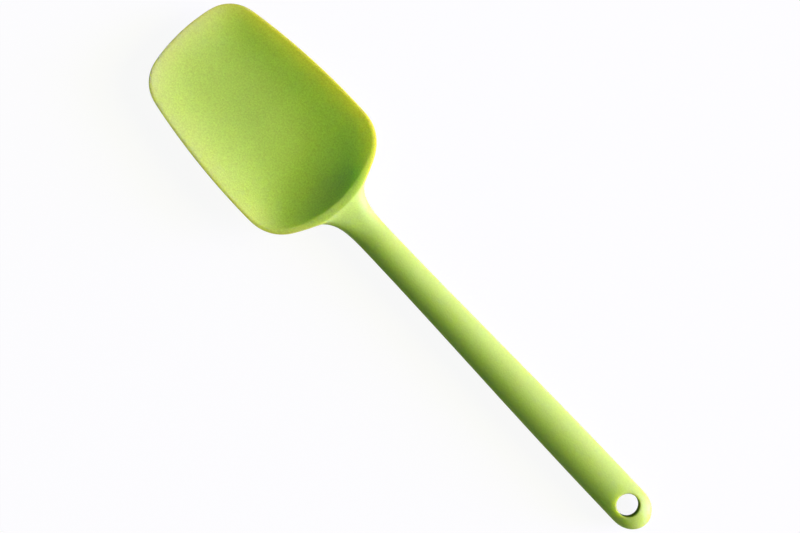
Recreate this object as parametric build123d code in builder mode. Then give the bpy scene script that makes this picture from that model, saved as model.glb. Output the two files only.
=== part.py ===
import os
from math import atan, cos, pi, radians, sin

from build123d import *

# Scoop-headed silicone spatula, moulded in one piece over a hidden core. Millimetres.
# It lies as on a table with the bowl up: +X runs from the handle to the front lip, +Z up,
# and the origin is on the table under the middle of the length.
# A station is a distance back from the front lip.
overall_length = 280.0

# Head from above: front, side and rear arcs meet at rounded corners
head_length = 98.9
head_half_width = 32.9
widest_setback = 7.0
front_corner_half_width = 26.05
front_bow = 4.4
rear_corner_half_width = 32.4
rear_bow = 12.5
front_corner_radius = 15.5
rear_corner_radius = 18.5

# Head from the side: the rim climbs from the front lip to the handle
lip_height = 10.0
rear_rim_height = 16.0
rear_reach = 36.9
floor_thickness = 4.5
front_rim_width = 0.8
side_rim_width = 1.3
rear_rim_width = 3.1
rim_chamfer = 0.3

# Fullness of the walls: 2 is a round bowl, more keeps the floor flat and the wall steep
outer_front_fullness = 5.5
outer_rear_fullness = 3.4
outer_side_fullness = 2.65
inner_front_fullness = 7.0
inner_rear_fullness = 3.2
inner_side_fullness = 2.7
level_shares = (0.0, 0.03, 0.1, 0.22, 0.4, 0.62, 0.83, 1.0)
above_rim_share = 1.15
foot_share = 0.008

# Neck and handle, oval in section, with a rounded tail
neck_length = 17.1
neck_half_width = 6.85
neck_half_thickness = 5.4
neck_axis_height = 6.9
grip_start_inset = 4.0
grip_full_inset = 15.0
tail_length = 10.0
tail_half_width = 8.75
tail_half_thickness = 5.8
grip_shares = (
    (0.0, 0.04, 0.09, 0.15, 0.23, 0.32, 0.42, 0.53)
    + (0.63, 0.72, 0.795, 0.853, 0.898, 0.934, 0.962, 0.983, 1.0)
)
tail_turn_step = 15

# Web that spreads the neck onto the rear of the head, and its root inside the head
web_overlap = 3.9
web_half_width = 16.6
web_rise = 3.1
web_power = 4
web_shares = (0.86, 0.72, 0.57, 0.4, 0.2)
web_root_length = 8.0
web_root_shares = ((1.0, 0.8, 0.7), (0.72, 0.91, 0.83), (0.38, 0.98, 0.94), (0.0, 1.0, 1.0))

# Hanging hole
hole_inset = 11.3
hole_radius = 4.8
hole_rounding = 0.9

# Nylon core: the paddle in the bowl floor and the beam in the handle
paddle_skin = 1.4
paddle_front_station = 21.0
paddle_back_overrun = 1.1
paddle_half_width = 20.0
paddle_corner_radius = 12.0
paddle_back_height = 10.5
beam_skin = 2.0
beam_root_overlap = 8.0
beam_tail_inset = 23.0
beam_end_chamfer = 1.0
beam_shares = (0.0, 0.1, 0.25, 0.4, 0.55, 0.7, 0.85, 1.0)

# Where the silicone locks onto the core: apertures in the paddle, grooves round the beam
aperture_radius = 3.0
aperture_pitch = 15.0
aperture_row_spacing = 19.0
aperture_columns = 3
aperture_rows = 2
aperture_lead = 15.0
groove_count = 7
groove_end_inset = 14.0
groove_half_width = 2.0
groove_depth = 0.6

# Steel rod inside the beam, with ring grooves near both ends
rod_radius = 2.0
rod_front_inset = 2.1
rod_tail_inset = 32.0
rod_chamfer = 0.4
rod_groove_count = 3
rod_groove_inset = 4.0
rod_groove_pitch = 3.0
rod_groove_half_width = 0.6
rod_groove_depth = 0.3

overrun = 10.0

neck_station = head_length + neck_length
tail_station = overall_length - tail_length
grip_start_station = neck_station - grip_start_inset
grip_full_station = tail_station - grip_full_inset
web_station = head_length - web_overlap
hole_station = overall_length - hole_inset
paddle_back_station = head_length + paddle_back_overrun
beam_root_station = head_length - beam_root_overlap
beam_tail_station = overall_length - beam_tail_inset
groove_first_station = neck_station + groove_end_inset
groove_last_station = beam_tail_station - groove_end_inset
rod_front_station = head_length + rod_front_inset
rod_tail_station = overall_length - rod_tail_inset

bowl_station = head_length - rear_reach
front_reach = bowl_station
rim_slope = (rear_rim_height - lip_height) / head_length
bowl_rim_height = lip_height + rim_slope * bowl_station
axis_slope = (neck_axis_height - tail_half_thickness) / (tail_station - neck_station)
outer_fullness = (outer_front_fullness, outer_rear_fullness, outer_side_fullness)
inner_fullness = (inner_front_fullness, inner_rear_fullness, inner_side_fullness)


def place(station):
    return overall_length / 2 - station


def ease(share):
    return (1 - cos(pi * min(max(share, 0), 1))) / 2


def axis_height(station):
    return tail_half_thickness + axis_slope * (tail_station - station)


def along_grip(station, neck_size, tail_size):
    share = (station - grip_start_station) / (grip_full_station - grip_start_station)
    return neck_size + (tail_size - neck_size) * ease(share)


def half_width(station):
    return along_grip(station, neck_half_width, tail_half_width)


def half_thickness(station):
    return along_grip(station, neck_half_thickness, tail_half_thickness)


def cross_plane(station, height):
    return Plane(origin=(place(station), 0, height), x_dir=(0, 1, 0), z_dir=(1, 0, 0))


def dish(to_front, to_rear, to_side, floor, fullness, levels):
    # A stack of head outlines that widen and tilt from the flat floor up to the rim.
    # Reaches are measured from the deepest point of the bowl.
    front_fullness, rear_fullness, side_fullness = fullness
    with BuildPart() as form:
        for level in levels:
            spread = max(level, foot_share)
            height = floor + level * (bowl_rim_height - floor)
            stretch = 1 / cos(atan(level * rim_slope))
            front = to_front * spread ** (1 / front_fullness) * stretch
            rear = to_rear * spread ** (1 / rear_fullness) * stretch
            half = to_side * spread ** (1 / side_fullness)
            rear_scale = rear / rear_reach
            side_scale = half / head_half_width
            front_x = front - front_bow * front / front_reach
            front_y = front_corner_half_width * side_scale
            rear_x = rear_bow * rear_scale - rear
            rear_y = rear_corner_half_width * side_scale
            widest_x = -widest_setback * rear_scale
            level_plane = Plane(
                origin=(place(bowl_station), 0, height),
                x_dir=(1, 0, -level * rim_slope),
                z_dir=(level * rim_slope, 0, 1),
            )
            with BuildSketch(level_plane) as outline:
                with BuildLine():
                    ThreePointArc((front_x, -front_y), (front, 0), (front_x, front_y))
                    ThreePointArc((front_x, front_y), (widest_x, half), (rear_x, rear_y))
                    ThreePointArc((rear_x, rear_y), (-rear, 0), (rear_x, -rear_y))
                    ThreePointArc((rear_x, -rear_y), (widest_x, -half), (front_x, -front_y))
                make_face()
                rear_corners = outline.vertices().sort_by(Axis.X)[:2]
                fillet(rear_corners, rear_corner_radius * side_scale)
                front_corners = outline.vertices().sort_by(Axis.X)[-2:]
                fillet(front_corners, front_corner_radius * side_scale)
        loft()
    return form.part


def hollow_dish(growth):
    # The bowl's hollow, grown by the skin that stays between it and the core
    return dish(
        front_reach - front_rim_width + growth,
        rear_reach - rear_rim_width + growth,
        head_half_width - side_rim_width + growth,
        floor_thickness - growth,
        inner_fullness,
        level_shares + (above_rim_share,),
    )


def outer_dish(inset):
    return dish(
        front_reach - inset,
        rear_reach - inset,
        head_half_width - inset,
        inset,
        outer_fullness,
        level_shares,
    )


# Sections of the root, the web, the grip and the tail: station, half width, bottom, top
handle_sections = []
for station_share, width_share, height_share in web_root_shares:
    station = web_station - station_share * web_root_length
    bottom = axis_height(station) - half_thickness(station)
    top = axis_height(station) + half_thickness(station) + web_rise
    middle = (bottom + top) / 2
    reach = height_share * (top - bottom) / 2
    handle_sections.append((station, width_share * web_half_width, middle - reach, middle + reach))
for share in web_shares:
    station = neck_station - share * (neck_station - web_station)
    spread = (web_half_width - neck_half_width) * share**web_power
    bottom = axis_height(station) - half_thickness(station)
    top = axis_height(station) + half_thickness(station) + web_rise * ease(share)
    handle_sections.append((station, half_width(station) + spread, bottom, top))
for share in grip_shares:
    station = neck_station + share * (tail_station - neck_station)
    bottom = axis_height(station) - half_thickness(station)
    top = axis_height(station) + half_thickness(station)
    handle_sections.append((station, half_width(station), bottom, top))
for turn in range(tail_turn_step, 90, tail_turn_step):
    station = tail_station + (overall_length - tail_station) * sin(radians(turn))
    drawn_in = cos(radians(turn))
    bottom = tail_half_thickness * (1 - drawn_in)
    top = tail_half_thickness * (1 + drawn_in)
    handle_sections.append((station, tail_half_width * drawn_in, bottom, top))

with BuildPart() as handle:
    faces = []
    for station, half, bottom, top in handle_sections:
        with BuildSketch(cross_plane(station, (bottom + top) / 2)) as section:
            Ellipse(half, (top - bottom) / 2)
        faces.append(section.sketch.face())
    loft(faces + [Vertex(place(overall_length), 0, tail_half_thickness)])

rod_front = Vector(place(rod_front_station), 0, axis_height(rod_front_station))
rod_tail = Vector(place(rod_tail_station), 0, axis_height(rod_tail_station))
rod_length = (rod_front - rod_tail).length
rod_plane = Plane(origin=rod_tail, x_dir=(0, 1, 0), z_dir=rod_front - rod_tail)

with BuildPart() as steel_rod:
    with BuildSketch(rod_plane):
        Circle(rod_radius)
    extrude(amount=rod_length)
    chamfer(steel_rod.edges().filter_by(GeomType.CIRCLE), rod_chamfer)
    for index in range(rod_groove_count):
        inset = rod_groove_inset + index * rod_groove_pitch
        for centre in (inset, rod_length - inset):
            with BuildSketch(rod_plane.offset(centre)):
                Circle(rod_radius)
                Circle(rod_radius - rod_groove_depth, mode=Mode.SUBTRACT)
            extrude(amount=rod_groove_half_width, both=True, mode=Mode.SUBTRACT)
steel_rod.part.label = "steel_rod"

with BuildPart() as nylon_core:
    add(outer_dish(paddle_skin))
    with BuildSketch():
        with Locations((place((paddle_front_station + paddle_back_station) / 2), 0)):
            RectangleRounded(
                paddle_back_station - paddle_front_station, 2 * paddle_half_width, paddle_corner_radius
            )
    extrude(amount=paddle_back_height, mode=Mode.INTERSECT)
    for share in beam_shares:
        station = beam_root_station + share * (beam_tail_station - beam_root_station)
        with BuildSketch(cross_plane(station, axis_height(station))):
            Ellipse(half_width(station) - beam_skin, half_thickness(station) - beam_skin)
    loft()
    chamfer(nylon_core.faces().sort_by(Axis.X)[0].edges(), beam_end_chamfer)
    add(hollow_dish(paddle_skin), mode=Mode.SUBTRACT)
    with BuildSketch():
        with Locations((place(bowl_station - aperture_lead), 0)):
            with GridLocations(
                aperture_pitch, aperture_row_spacing, aperture_columns, aperture_rows
            ):
                Circle(aperture_radius)
    extrude(amount=paddle_back_height, mode=Mode.SUBTRACT)
    for index in range(groove_count):
        share = index / (groove_count - 1)
        station = groove_first_station + share * (groove_last_station - groove_first_station)
        with BuildSketch(cross_plane(station, axis_height(station))):
            Ellipse(half_width(station), half_thickness(station))
            Ellipse(
                half_width(station) - beam_skin - groove_depth,
                half_thickness(station) - beam_skin - groove_depth,
                mode=Mode.SUBTRACT,
            )
        extrude(amount=groove_half_width, both=True, mode=Mode.SUBTRACT)
    add(steel_rod.part, mode=Mode.SUBTRACT)
nylon_core.part.label = "nylon_core"

with BuildPart() as silicone_body:
    add(outer_dish(0))
    add(handle.part)
    add(hollow_dish(0), mode=Mode.SUBTRACT)
    rim = silicone_body.faces().filter_by(GeomType.PLANE).sort_by(Axis.Z)[-1]
    chamfer(rim.edges(), rim_chamfer)
    with BuildSketch():
        with Locations((place(hole_station), 0)):
            Circle(hole_radius)
    extrude(amount=2 * tail_half_thickness + overrun, both=True, mode=Mode.SUBTRACT)
    mouths = silicone_body.faces().filter_by(GeomType.CYLINDER).edges()
    fillet(mouths.filter_by(GeomType.LINE, reverse=True), hole_rounding)
    add(nylon_core.part, mode=Mode.SUBTRACT)
    add(steel_rod.part, mode=Mode.SUBTRACT)
silicone_body.part.label = "silicone_body"

os.makedirs("parts", exist_ok=True)
export_step(silicone_body.part, "parts/silicone_body.step")
export_step(nylon_core.part, "parts/nylon_core.step")
export_step(steel_rod.part, "parts/steel_rod.step")
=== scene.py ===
from math import atan2, copysign, cos, pi, radians, sin, sqrt

import bmesh
import bpy
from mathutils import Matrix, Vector
from mathutils.geometry import intersect_sphere_sphere_2d


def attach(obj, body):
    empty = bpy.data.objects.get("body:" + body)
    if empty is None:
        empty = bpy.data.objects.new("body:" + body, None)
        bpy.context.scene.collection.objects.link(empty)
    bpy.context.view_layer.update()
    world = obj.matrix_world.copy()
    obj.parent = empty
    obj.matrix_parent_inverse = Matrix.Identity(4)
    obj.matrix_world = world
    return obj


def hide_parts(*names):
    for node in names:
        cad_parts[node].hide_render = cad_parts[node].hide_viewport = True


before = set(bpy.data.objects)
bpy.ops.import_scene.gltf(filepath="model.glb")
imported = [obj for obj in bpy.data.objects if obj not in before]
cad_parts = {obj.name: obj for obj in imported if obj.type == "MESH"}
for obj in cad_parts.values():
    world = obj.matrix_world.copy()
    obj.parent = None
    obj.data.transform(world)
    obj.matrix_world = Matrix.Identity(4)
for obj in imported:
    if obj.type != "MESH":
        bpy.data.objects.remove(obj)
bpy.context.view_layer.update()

scene = bpy.context.scene
mm = 0.001

# Everything below is in millimetres until a point is written into a mesh.
# A station is a distance back from the front lip; the lip is at half the length in +X.
whole = {"length": 280.0, "headLength": 98.9}

head = {
    "halfWidth": 32.9,
    "frontCorner": 26.05,      # where the front arc would meet the side arc
    "frontBow": 4.4,
    "rearCorner": 32.4,
    "rearBow": 12.5,
    "widestBack": 7.0,         # behind the deepest point
    "frontRadius": 15.5,
    "rearRadius": 18.5,
    "rearReach": 36.9,         # deepest point to the rear rim
    "setBack": 0.06,           # keeps the lip inside the solid's
    "lipHeight": 10.0,
    "rearHeight": 15.97,
    "rimSag": 0.8,             # how far the side rims dip below the straight line
    "floor": 4.5,
    "rims": (0.8, 1.3, 3.1),   # front, side, rear, as in the next two
    "outerFull": (5.5, 2.65, 3.4),
    "innerFull": (7.0, 2.7, 3.2),
    "leastLevel": 0.0005,      # keeps the last ring of a wall open
    "rimRound": 0.45,
    "roundShare": 0.46,        # the most of the rim's width that its rounding takes
    "around": 88,
    "innerLevels": (0.9, 0.8, 0.64, 0.48, 0.34, 0.22, 0.13, 0.065, 0.028, 0.01, 0.003),
    "outerLevels": (0.91, 0.8, 0.64, 0.48, 0.33, 0.2, 0.1, 0.04, 0.012, 0.003),
    "joinReach": 7,            # columns from the rear middle to where the rim is plain again
    "joinFade": 4,             # columns over which it changes
    "joinLow": (0.75, -0.26),  # how far back and up the rim's outer points go above the web
    "joinOuter": (0.25, -0.05),
    "joinTop": (-0.15, 0),
}

handle = {
    "neck": 116.0,
    "neckHalf": (6.85, 5.4),   # half width and half thickness
    "neckAxis": 6.9,
    "gripStart": 112.0,
    "gripFull": 255.0,
    "tail": 270.0,
    "tailHalf": (8.75, 5.8),
    "webStation": 95.0,
    "webHalf": 16.6,
    "webFlare": (0.9, 3.6, 0.1),   # the curved share of the spread, its power, the even share
    "webFillet": 3.5,          # more spread at the very root
    "filletPower": 16,
    "webTop": 99.5,            # where the web's top meets the rim
    "webRise": 3.1,
    "webSquare": 0.5,          # how square the web's top is at the root
    "webWaist": 0.62,          # how much of the web's spread is left at half its height
    "webAbove": 0.5,           # and what the top adds and the underside takes off
    "webBelow": 0.2,
    "webColumns": 6,           # half the columns of the head that the web grows from
    "webRows": 5,
    "webSteps": (0.1, 0.22, 0.36, 0.52, 0.68, 0.84, 1.0),
    "gripRings": 18,
    "endRows": (276.0, 277.6, 278.8, 279.55, 279.93),
}

hole = {
    "station": 268.7,
    "radius": 4.8,
    "mouth": 5.75,             # radius where the rounded edge meets the handle
    "patch": 0.98,             # the patch that the hole opens in, as a share of the mouth
    "rows": 6,
    "columns": 6,
    "edgeRings": ((0.4, 0.12), (0.03, 0.45), (0, 1.1), (0, 2.4)),   # outside the radius, depth
}


def place(station):
    # The X of a station, or the station of an X
    return whole["length"] / 2 - station


def ease(share):
    return (1 - cos(pi * min(max(share, 0), 1))) / 2


def circleThrough(a, b, c):
    d = 2 * (a.x * (b.y - c.y) + b.x * (c.y - a.y) + c.x * (a.y - b.y))
    aa, bb, cc = a.length_squared, b.length_squared, c.length_squared
    centre = Vector((
        (aa * (b.y - c.y) + bb * (c.y - a.y) + cc * (a.y - b.y)) / d,
        (aa * (c.x - b.x) + bb * (a.x - c.x) + cc * (b.x - a.x)) / d,
    ))
    return centre, (a - centre).length


def headOutline():
    # Points of the rim from above, evenly spaced from the front lip round to the rear and back
    h = head
    front = whole["headLength"] - h["rearReach"]
    lip, rear = Vector((front, 0)), Vector((-h["rearReach"], 0))
    frontCorner = Vector((front - h["frontBow"], h["frontCorner"]))
    rearCorner = Vector((h["rearBow"] - h["rearReach"], h["rearCorner"]))
    widest = Vector((-h["widestBack"], h["halfWidth"]))
    frontArc = circleThrough(Vector((frontCorner.x, -frontCorner.y)), lip, frontCorner)
    sideArc = circleThrough(frontCorner, widest, rearCorner)
    rearArc = circleThrough(rearCorner, rear, Vector((rearCorner.x, -rearCorner.y)))
    corners = ((frontArc, h["frontRadius"], sideArc), (sideArc, h["rearRadius"], rearArc))
    arcs = []
    at = lip
    for (ca, ra), r, (cb, rb) in corners:
        found = intersect_sphere_sphere_2d(ca, ra - r, cb, rb - r)
        corner = max(found, key=lambda p: p.y)
        first = corner + (corner - ca).normalized() * r
        second = corner + (corner - cb).normalized() * r
        arcs += [(ca, ra, at, first), (corner, r, first, second)]
        at = second
    arcs.append((*rearArc, at, rear))
    spans = []
    for centre, radius, a, b in arcs:
        start = atan2(a.y - centre.y, a.x - centre.x)
        turn = atan2(b.y - centre.y, b.x - centre.x) - start
        spans.append((centre, radius, start, turn, abs(turn) * radius))
    total = sum(span[-1] for span in spans)
    half = h["around"] // 2
    side = []
    for i in range(half + 1):
        left = total * i / half
        for centre, radius, start, turn, length in spans:
            if left <= length or centre is spans[-1][0]:
                angle = start + turn * min(left / length, 1)
                side.append(centre + radius * Vector((cos(angle), sin(angle))))
                break
            left -= length
    return side + [Vector((p.x, -p.y)) for p in side[-2:0:-1]]


def rimHeight(x):
    front = whole["headLength"] - head["rearReach"]
    back = (front - x) / whole["headLength"]
    dip = head["rimSag"] * 4 * back * (1 - back)
    return head["lipHeight"] + back * (head["rearHeight"] - head["lipHeight"]) - dip


def wallPoint(p, level, full, rims, floor):
    # p is on the outline; the wall comes in towards the deepest point as the level falls
    h = head
    front = whole["headLength"] - h["rearReach"]
    spread = max(level, h["leastLevel"])
    if p.x > 0:
        x = p.x * (front - rims[0]) / front * spread ** (1 / full[0])
    else:
        x = p.x * (h["rearReach"] - rims[2]) / h["rearReach"] * spread ** (1 / full[2])
    y = p.y * (h["halfWidth"] - rims[1]) / h["halfWidth"] * spread ** (1 / full[1])
    return Vector((x, y, floor + level * (rimHeight(x) - floor)))


def outerPoint(p, level):
    return wallPoint(p, level, head["outerFull"], (0, 0, 0), 0)


def innerPoint(p, level):
    return wallPoint(p, level, head["innerFull"], head["rims"], head["floor"])


def nearness(station, end):
    # 0 at the neck, 1 at the end
    neck = handle["neck"]
    return min(max((neck - station) / (neck - end), 0), 1)


def section(station):
    # half width, underside, top and the web's share of the half width
    h = handle
    along = ease((station - h["gripStart"]) / (h["gripFull"] - h["gripStart"]))
    half = h["neckHalf"][0] + (h["tailHalf"][0] - h["neckHalf"][0]) * along
    thick = h["neckHalf"][1] + (h["tailHalf"][1] - h["neckHalf"][1]) * along
    slope = (h["neckAxis"] - h["tailHalf"][1]) / (h["tail"] - h["neck"])
    axis = h["tailHalf"][1] + max(h["tail"] - station, 0) * slope
    near = nearness(station, h["webStation"])
    curved, power, even = h["webFlare"]
    spread = (h["webHalf"] - h["neckHalf"][0]) * (curved * near ** power + even * near)
    spread += h["webFillet"] * near ** h["filletPower"]
    rise = h["webRise"] * nearness(station, h["webTop"]) ** 2
    if station > h["tail"]:
        drawnIn = sqrt(max(1 - ((station - h["tail"]) / (whole["length"] - h["tail"])) ** 2, 0))
        half, thick = half * drawnIn, thick * drawnIn
    return half, axis - thick, axis + thick + rise, spread


def handlePoint(station, turn):
    # turn 0 is the top of the section, a quarter turn its +Y side
    h = handle
    half, low, high, spread = section(station)
    up, out = cos(turn), sin(turn)
    if up > 0:
        square = 1 - h["webSquare"] * nearness(station, h["webStation"])
        up, out = up ** square, copysign(abs(out) ** square, out)
    half += spread * min(h["webWaist"] + up * h["webAbove" if up > 0 else "webBelow"], 1)
    return Vector((place(station), half * out, (low + high) / 2 + (high - low) / 2 * up))


def surfaceHeight(x, y, up):
    # up is 1 for the handle's top, -1 for its underside
    half, low, high, spread = section(place(x))
    return (low + high) / 2 + up * (high - low) / 2 * sqrt(max(1 - (y / half) ** 2, 0))


def ringEdges(bm, ring):
    return [bm.edges.get(pair) for pair in zip(ring, ring[1:] + ring[:1])]


def nextRing(bm, ring, points):
    # Extrudes the ring's edges and puts the new ring on the points
    extruded = bmesh.ops.extrude_edge_only(bm, edges=ringEdges(bm, ring))["geom"]
    made = {part for part in extruded if isinstance(part, bmesh.types.BMVert)}
    new = []
    for vert, point in zip(ring, points):
        twin = next(e.other_vert(vert) for e in vert.link_edges if e.other_vert(vert) in made)
        twin.co = point * mm
        new.append(twin)
    return new


def closeRing(bm, ring):
    bmesh.ops.edgeloop_fill(bm, edges=ringEdges(bm, ring))


def openPatch(bm, rows, cols):
    # Deletes the faces between these columns of the rows and returns the opening's verts:
    # along the first row, down the last column, back along the last row, up the first column
    faces = []
    for upper, lower in zip(rows, rows[1:]):
        for a, b in zip(cols, cols[1:]):
            faces.append(next(face for face in upper[a].link_faces if lower[b] in set(face.verts)))
    loop = [rows[0][c] for c in cols]
    loop += [row[cols[-1]] for row in rows[1:-1]]
    loop += [rows[-1][c] for c in reversed(cols)]
    loop += [row[cols[0]] for row in reversed(rows[1:-1])]
    bmesh.ops.delete(bm, geom=faces, context="FACES")
    return loop


def rimArch(column, p):
    # Six points over the rim, from the outer wall to the inner one
    h = head
    a, b = outerPoint(p, 1), innerPoint(p, 1)
    width = (a - b).length
    bend = min(width * h["roundShare"], h["rimRound"])
    low = outerPoint(p, 1 - bend / a.z)
    deep = innerPoint(p, 1 - bend / (b.z - h["floor"]))
    top, brink = a.lerp(b, bend / width), b.lerp(a, bend / width)
    outer = low * 0.25 + a * 0.5 + top * 0.25
    inner = brink * 0.25 + b * 0.5 + deep * 0.25
    joined = min(max((h["joinReach"] - abs(column - h["around"] // 2)) / h["joinFade"], 0), 1)
    back = Vector((p.x, p.y, 0)).normalized()
    arch = []
    for point, name in ((low, "joinLow"), (outer, "joinOuter"), (top, "joinTop")):
        away, rise = h[name]
        arch.append(point.lerp(a + back * away + Vector((0, 0, rise)), joined))
    return arch + [brink, inner, deep]


def headMesh(bm):
    # The rim ring first, then down the outside to the belly and down the inside to the floor
    h = head
    outline = headOutline()
    shift = Vector((place(whole["headLength"] - h["rearReach"] + h["setBack"]), 0, 0))
    arches = [rimArch(column, p) for column, p in enumerate(outline)]
    rows = [[shift + point for point in row] for row in zip(*arches)]

    start = bmesh.ops.create_circle(bm, segments=h["around"], radius=mm)["verts"]
    for vert, point in zip(start, rows[0]):
        vert.co = point * mm
    outside = [start]
    for level in h["outerLevels"]:
        outside.append(nextRing(bm, outside[-1], [shift + outerPoint(p, level) for p in outline]))
    closeRing(bm, outside[-1])
    ring = start
    for row in rows[1:]:
        ring = nextRing(bm, ring, row)
    for level in h["innerLevels"]:
        ring = nextRing(bm, ring, [shift + innerPoint(p, level) for p in outline])
    closeRing(bm, ring)
    return outside


def webMouth(bm, outside):
    # Opens the rear wall of the head and returns the opening's verts, from the top middle round by +Y
    side = handle["webColumns"]
    rear = head["around"] // 2
    cols = list(range(rear + side, rear - side - 1, -1))
    loop = openPatch(bm, outside[:handle["webRows"] + 1], cols)
    return loop[side:] + loop[:side]


def handleMesh(bm, mouth):
    # From the web's mouth to the tail; returns the rows that the hanging hole is made in
    h = handle
    turns = [2 * pi * i / len(mouth) for i in range(len(mouth))]
    starts = [place(vert.co.x / mm) for vert in mouth]
    ring = mouth
    for step in h["webSteps"]:
        points = [handlePoint(s + (h["neck"] - s) * step, t) for s, t in zip(starts, turns)]
        ring = nextRing(bm, ring, points)
    half = hole["mouth"] * hole["patch"]
    first, last = hole["station"] - half, hole["station"] + half
    gripRows = [h["neck"] + (first - h["neck"]) * i / h["gripRings"] for i in range(1, h["gripRings"])]
    holeRows = [first + (last - first) * i / hole["rows"] for i in range(hole["rows"] + 1)]
    grid = []
    for station in gripRows + holeRows + list(h["endRows"]):
        ring = nextRing(bm, ring, [handlePoint(station, turn) for turn in turns])
        if station in holeRows:
            grid.append(ring)
    closeRing(bm, ring)
    return grid


def holeRing(centre, radius, sink, up, angles):
    points = []
    for angle in angles:
        x = centre.x + radius * cos(angle)
        y = centre.y + radius * sin(angle)
        points.append(Vector((x, y, surfaceHeight(x, y, up) - up * sink)))
    return points


def holeMesh(bm, grid):
    # The same patch is opened in the top and the underside, made round, and joined by the bore
    count = len(grid[0])
    side = hole["columns"] // 2
    centre = Vector((place(hole["station"]), 0))
    loops = []
    for middle, up in ((0, 1), (count // 2, -1)):
        ring = openPatch(bm, grid, [(middle + c) % count for c in range(-side, side + 1)])
        about = [atan2(v.co.y / mm - centre.y, v.co.x / mm - centre.x) for v in ring]
        turn = 1 if sum(sin(b - a) for a, b in zip(about, about[1:])) > 0 else -1
        angles = [about[0] + turn * 2 * pi * i / len(ring) for i in range(len(ring))]
        for vert, point in zip(ring, holeRing(centre, hole["mouth"], 0, up, angles)):
            vert.co = point * mm
        for more, sink in hole["edgeRings"]:
            ring = nextRing(bm, ring, holeRing(centre, hole["radius"] + more, sink, up, angles))
        loops += ringEdges(bm, ring)
    bmesh.ops.bridge_loops(bm, edges=loops)


def siliconeBody():
    bm = bmesh.new()
    outside = headMesh(bm)
    mouth = webMouth(bm, outside)
    grid = handleMesh(bm, mouth)
    holeMesh(bm, grid)
    bmesh.ops.remove_doubles(bm, verts=bm.verts, dist=0.01 * mm)
    bmesh.ops.recalc_face_normals(bm, faces=bm.faces)
    for face in bm.faces:
        face.smooth = True
    mesh = bpy.data.meshes.new("siliconeSkin")
    bm.to_mesh(mesh)
    bm.free()
    piece = bpy.data.objects.new("siliconeSkin", mesh)
    scene.collection.objects.link(piece)
    smooth = piece.modifiers.new("smooth", "SUBSURF")
    smooth.levels = 2
    smooth.render_levels = 2
    return piece


grain = {
    "fineDetail": 3,
    "fineRoughness": 0.6,
    "broadScale": 90.0,
    "broadDetail": 2,
    "broadShare": 0.15,
    "contrast": (0.35, 0.65),            # the noise values that give the two colours
    "roughnessSpread": 0.12,
    "depth": 0.0001,
}

silicone = {
    "colour": (0.52, 0.77, 0.1, 1),
    "deep": (0.385, 0.575, 0.07, 1),
    "mottle": (0.45, 0.8),               # on the handle, in the head
    "lightness": (1.0, 1.14),            # likewise; painted light that brightens the head, fitted to the photograph with the lamps
    "shade": (0.18, 0.28, 0.045, 1),     # painted shade on the wall of the hanging hole
    "shadeEdge": (0.25, 0.02),           # outside the hole's radius, where the painted shade starts and is full
    "roughness": 0.46,
    "scale": 1500.0,
    "stretch": (1, 1, 1),
    "bump": 0.5,
    "scatter": 1.0,
    "scatterRadius": (1.15, 1.0, 0.15),
    "scatterScale": 0.0055,
    "ior": 1.43,
    "specular": 0.3,
}

nylon = {
    "colour": (0.55, 0.53, 0.47, 1),
    "deep": (0.66, 0.64, 0.58, 1),       # pale glass flecks
    "mottle": 0.5,
    "roughness": 0.55,
    "scale": 900.0,
    "stretch": (0.15, 1, 1),
    "bump": 0.2,
    "metallic": 0,
}

steel = {
    "colour": (0.56, 0.56, 0.55, 1),
    "deep": (0.42, 0.42, 0.42, 1),
    "mottle": 0.4,
    "roughness": 0.3,
    "scale": 4000.0,
    "stretch": (0.02, 1, 1),             # fine lengthwise lines
    "bump": 0.15,
    "metallic": 1,
}


def feed(tree, socket, value):
    # value is another node's output, or a constant for the socket itself
    if isinstance(value, bpy.types.NodeSocket):
        tree.links.new(value, socket)
    else:
        socket.default_value = value


def worked(tree, kind, operation, *values):
    node = tree.nodes.new(kind)
    node.operation = operation
    for socket, value in zip(node.inputs, values):
        feed(tree, socket, value)
    return node


def ramp(tree, value, start, end):
    # start and end are pairs: a value and what it becomes
    node = tree.nodes.new("ShaderNodeMapRange")
    for name, number in zip(("From Min", "To Min", "From Max", "To Max"), start + end):
        node.inputs[name].default_value = number
    feed(tree, node.inputs["Value"], value)
    return node.outputs["Result"]


def blend(tree, share, a, b):
    # A Mix node's colour sockets go by number
    node = tree.nodes.new("ShaderNodeMix")
    node.data_type = "RGBA"
    for socket, value in (("Factor", share), (6, a), (7, b)):
        feed(tree, node.inputs[socket], value)
    return node.outputs[2]


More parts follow.
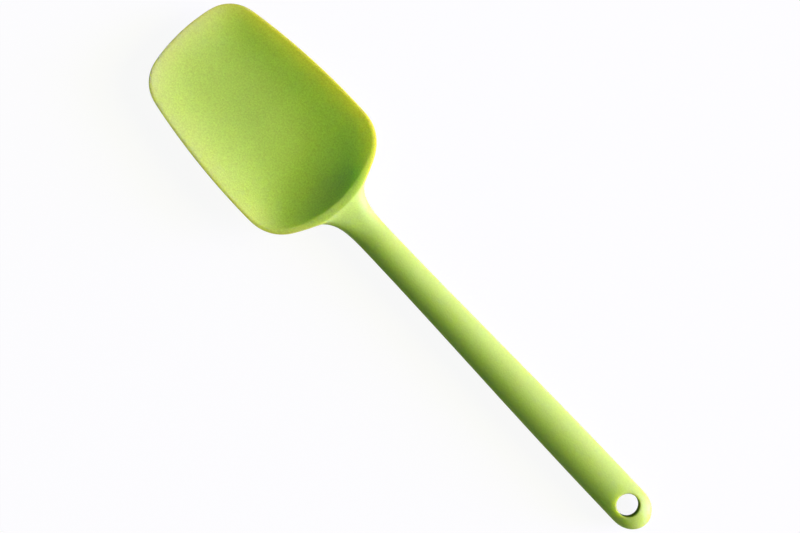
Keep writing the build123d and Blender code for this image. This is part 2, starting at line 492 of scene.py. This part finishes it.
def grainGroup():
    # Fine mould grain: a slightly varied colour, a roughness and a height
    group = bpy.data.node_groups.new("mouldGrain", "ShaderNodeTree")
    nodes, links = group.nodes, group.links
    sockets = {
        "INPUT": {"Colour": "Color", "Colour Deep": "Color", "Mottle": "Float",
                  "Roughness": "Float", "Scale": "Float", "Stretch": "Vector"},
        "OUTPUT": {"Colour": "Color", "Roughness": "Float", "Height": "Float"},
    }
    for way, kinds in sockets.items():
        for name, kind in kinds.items():
            group.interface.new_socket(name, in_out=way, socket_type="NodeSocket" + kind)
    given = nodes.new("NodeGroupInput").outputs
    out = nodes.new("NodeGroupOutput").inputs
    where = nodes.new("ShaderNodeTexCoord").outputs["Object"]
    stretched = worked(group, "ShaderNodeVectorMath", "MULTIPLY", where, given["Stretch"])

    fine = nodes.new("ShaderNodeTexNoise")
    fine.inputs["Detail"].default_value = grain["fineDetail"]
    fine.inputs["Roughness"].default_value = grain["fineRoughness"]
    links.new(stretched.outputs[0], fine.inputs["Vector"])
    links.new(given["Scale"], fine.inputs["Scale"])
    broad = nodes.new("ShaderNodeTexNoise")
    broad.inputs["Scale"].default_value = grain["broadScale"]
    broad.inputs["Detail"].default_value = grain["broadDetail"]
    links.new(where, broad.inputs["Vector"])
    both = nodes.new("ShaderNodeMix")
    both.inputs["Factor"].default_value = grain["broadShare"]
    links.new(fine.outputs["Fac"], both.inputs["A"])
    links.new(broad.outputs["Fac"], both.inputs["B"])

    low, high = grain["contrast"]
    spread = ramp(group, both.outputs["Result"], (low, -0.5), (high, 0.5))
    amount = worked(group, "ShaderNodeMath", "MULTIPLY_ADD", spread, given["Mottle"], 0.5)
    links.new(blend(group, amount.outputs[0], given["Colour"], given["Colour Deep"]), out["Colour"])
    rough = worked(group, "ShaderNodeMath", "MULTIPLY_ADD",
                   fine.outputs["Fac"], grain["roughnessSpread"], given["Roughness"])
    links.new(rough.outputs[0], out["Roughness"])
    links.new(fine.outputs["Fac"], out["Height"])
    return group


mouldGrain = grainGroup()


def grained(name, look):
    # A Principled material fed by the grain group; the caller gives Mottle
    material = bpy.data.materials.new(name)
    material.use_nodes = True
    nodes, links = material.node_tree.nodes, material.node_tree.links
    shader = nodes["Principled BSDF"]
    surface = nodes.new("ShaderNodeGroup")
    surface.node_tree = mouldGrain
    for socket, value in (("Colour", "colour"), ("Colour Deep", "deep"), ("Roughness", "roughness"),
                          ("Scale", "scale"), ("Stretch", "stretch")):
        surface.inputs[socket].default_value = look[value]
    relief = nodes.new("ShaderNodeBump")
    relief.inputs["Strength"].default_value = look["bump"]
    relief.inputs["Distance"].default_value = grain["depth"]
    links.new(surface.outputs["Height"], relief.inputs["Height"])
    links.new(relief.outputs["Normal"], shader.inputs["Normal"])
    links.new(surface.outputs["Colour"], shader.inputs["Base Color"])
    links.new(surface.outputs["Roughness"], shader.inputs["Roughness"])
    return material, shader, surface


def boreShadeMask(tree):
    # 1 on the wall of the hanging hole, 0 from its rounded edges outwards: where the hole's wall gets
    # painted shade and loses its highlight
    where = tree.nodes.new("ShaderNodeTexCoord").outputs["Object"]
    centre = (place(hole["station"]) * mm, 0, 0)
    away = worked(tree, "ShaderNodeVectorMath", "SUBTRACT", where, centre)
    level = worked(tree, "ShaderNodeVectorMath", "MULTIPLY", away.outputs[0], (1, 1, 0))
    reach = worked(tree, "ShaderNodeVectorMath", "LENGTH", level.outputs[0])
    starts, full = ((hole["radius"] + edge) * mm for edge in silicone["shadeEdge"])
    return ramp(tree, reach.outputs["Value"], (starts, 0), (full, 1))


def siliconeMaterial():
    s = silicone
    material, shader, surface = grained("limeSilicone", s)
    tree = material.node_tree
    shader.subsurface_method = "RANDOM_WALK"
    for name, value in (("Subsurface Weight", "scatter"), ("Subsurface Radius", "scatterRadius"),
                        ("Subsurface Scale", "scatterScale"), ("IOR", "ior")):
        shader.inputs[name].default_value = s[value]

    where = tree.nodes.new("ShaderNodeTexCoord").outputs["Object"]
    along = tree.nodes.new("ShaderNodeSeparateXYZ")
    tree.links.new(where, along.inputs[0])
    # painted light: the colour brightens from the neck into the head, while the grain's mottle grows
    # stronger
    brightened = tree.nodes.new("ShaderNodeHueSaturation")
    tree.links.new(surface.outputs["Colour"], brightened.inputs["Color"])
    for name, socket in (("mottle", surface.inputs["Mottle"]), ("lightness", brightened.inputs["Value"])):
        onHandle, inHead = s[name]
        start = (place(handle["neck"]) * mm, onHandle)
        end = (place(handle["webStation"]) * mm, inHead)
        tree.links.new(ramp(tree, along.outputs["X"], start, end), socket)

    # painted shade: the hole's wall is darkened and its specular taken away
    holeShade = boreShadeMask(tree)
    colour = blend(tree, holeShade, brightened.outputs["Color"], s["shade"])
    tree.links.new(colour, shader.inputs["Base Color"])
    tree.links.new(ramp(tree, holeShade, (0, s["specular"]), (1, 0)), shader.inputs["Specular IOR Level"])
    return material


def coreMaterial(name, look):
    material, shader, surface = grained(name, look)
    surface.inputs["Mottle"].default_value = look["mottle"]
    shader.inputs["Metallic"].default_value = look["metallic"]
    return material


skin = siliconeBody()
skin.data.materials.append(siliconeMaterial())
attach(skin, "root")
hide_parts("silicone_body")
print("silicone skin:", len(skin.data.vertices), "verts,", len(skin.data.polygons), "faces")

for node, name, look in (("nylon_core", "glassFilledNylon", nylon), ("steel_rod", "drawnSteel", steel)):
    material = coreMaterial(name, look)
    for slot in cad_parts[node].material_slots:
        slot.material = material
print("core materials done")

# The photograph looks straight down, with the head at the upper left
camera = {
    "fieldWidth": 329.5,       # millimetres across the picture at the utensil
    "distance": 1250.0,
    "height": 10.0,
    "station": 132.7,          # under the middle of the picture
    "across": 0.6,
    "lean": 46.57,             # the length's angle below level, in degrees
    "sensor": 36.0,
}

studio = {
    "tableHalf": 3.0,
    "floor": 0.6,
    "white": 1.05,
    "shadow": 0.12,            # how much of the floor's own shading the camera sees
    "fill": (0.105, 0.155, 0.125, 1),
}

# Both lamps stand off to the picture's right, at a height given as a share of that
lamps = {
    "softbox": {"height": 0.42, "away": 5.0, "size": 3.7, "power": 465.0, "colour": (1.0, 0.91, 0.32)},
    "edgeLight": {"height": 0.18, "away": 5.0, "size": 2.5, "power": 1100.0, "colour": (0.11, 0.02, 1.0)},
}

lean = radians(camera["lean"])
pictureRight = Vector((-cos(lean), -sin(lean), 0))
middle = Vector((place(camera["station"]), camera["across"], 0)) * mm


def cameraAbove():
    lens = bpy.data.cameras.new("photoCamera")
    lens.sensor_width = camera["sensor"]
    lens.lens = camera["sensor"] / 2 / (camera["fieldWidth"] / 2 / camera["distance"])
    lens.clip_start = 0.01
    above = bpy.data.objects.new("photoCamera", lens)
    scene.collection.objects.link(above)
    above.location = middle + Vector((0, 0, (camera["distance"] + camera["height"]) * mm))
    above.rotation_euler = (0, 0, atan2(pictureRight.y, pictureRight.x))
    scene.camera = above


def softLight(name, lamp):
    light = bpy.data.lights.new(name, "AREA")
    light.shape = "DISK"
    light.size = lamp["size"]
    light.energy = lamp["power"]
    light.color = lamp["colour"]
    holder = bpy.data.objects.new(name, light)
    scene.collection.objects.link(holder)
    direction = (pictureRight + Vector((0, 0, lamp["height"]))).normalized()
    holder.location = middle + direction * lamp["away"]
    holder.rotation_euler = direction.to_track_quat("Z", "Y").to_euler()


def seenDirectly(tree):
    # 1 where the camera, a reflection or a clear body looks at the background, 0 where it gives light
    path = tree.nodes.new("ShaderNodeLightPath")
    seen = path.outputs["Is Camera Ray"]
    for name in ("Is Glossy Ray", "Is Transmission Ray"):
        seen = worked(tree, "ShaderNodeMath", "MAXIMUM", seen, path.outputs[name]).outputs[0]
    return seen


def paleTable():
    # Shades a little where the utensil keeps light off it, and is white otherwise
    plane = bmesh.new()
    bmesh.ops.create_grid(plane, x_segments=1, y_segments=1, size=studio["tableHalf"])
    mesh = bpy.data.meshes.new("table")
    plane.to_mesh(mesh)
    plane.free()
    table = bpy.data.objects.new("table", mesh)
    scene.collection.objects.link(table)
    material = bpy.data.materials.new("paleTable")
    material.use_nodes = True
    tree = material.node_tree
    tree.nodes.clear()
    paint = tree.nodes.new("ShaderNodeBsdfDiffuse")
    paint.inputs["Color"].default_value = (studio["floor"],) * 3 + (1,)
    white = tree.nodes.new("ShaderNodeEmission")
    white.inputs["Strength"].default_value = studio["white"]
    share = worked(tree, "ShaderNodeMath", "MULTIPLY", seenDirectly(tree), 1 - studio["shadow"])
    mix = tree.nodes.new("ShaderNodeMixShader")
    out = tree.nodes.new("ShaderNodeOutputMaterial")
    for source, socket in zip((share, paint, white), mix.inputs):
        tree.links.new(source.outputs[0], socket)
    tree.links.new(mix.outputs[0], out.inputs["Surface"])
    table.data.materials.append(material)


def paleRoom():
    world = bpy.data.worlds.new("paleRoom")
    world.use_nodes = True
    tree = world.node_tree
    sky = blend(tree, seenDirectly(tree), studio["fill"], (1, 1, 1, 1))
    tree.links.new(sky, tree.nodes["Background"].inputs["Color"])
    scene.world = world


scene.view_settings.view_transform = "Standard"
cameraAbove()
paleTable()
paleRoom()
for name, lamp in lamps.items():
    softLight(name, lamp)
print("camera and light done")
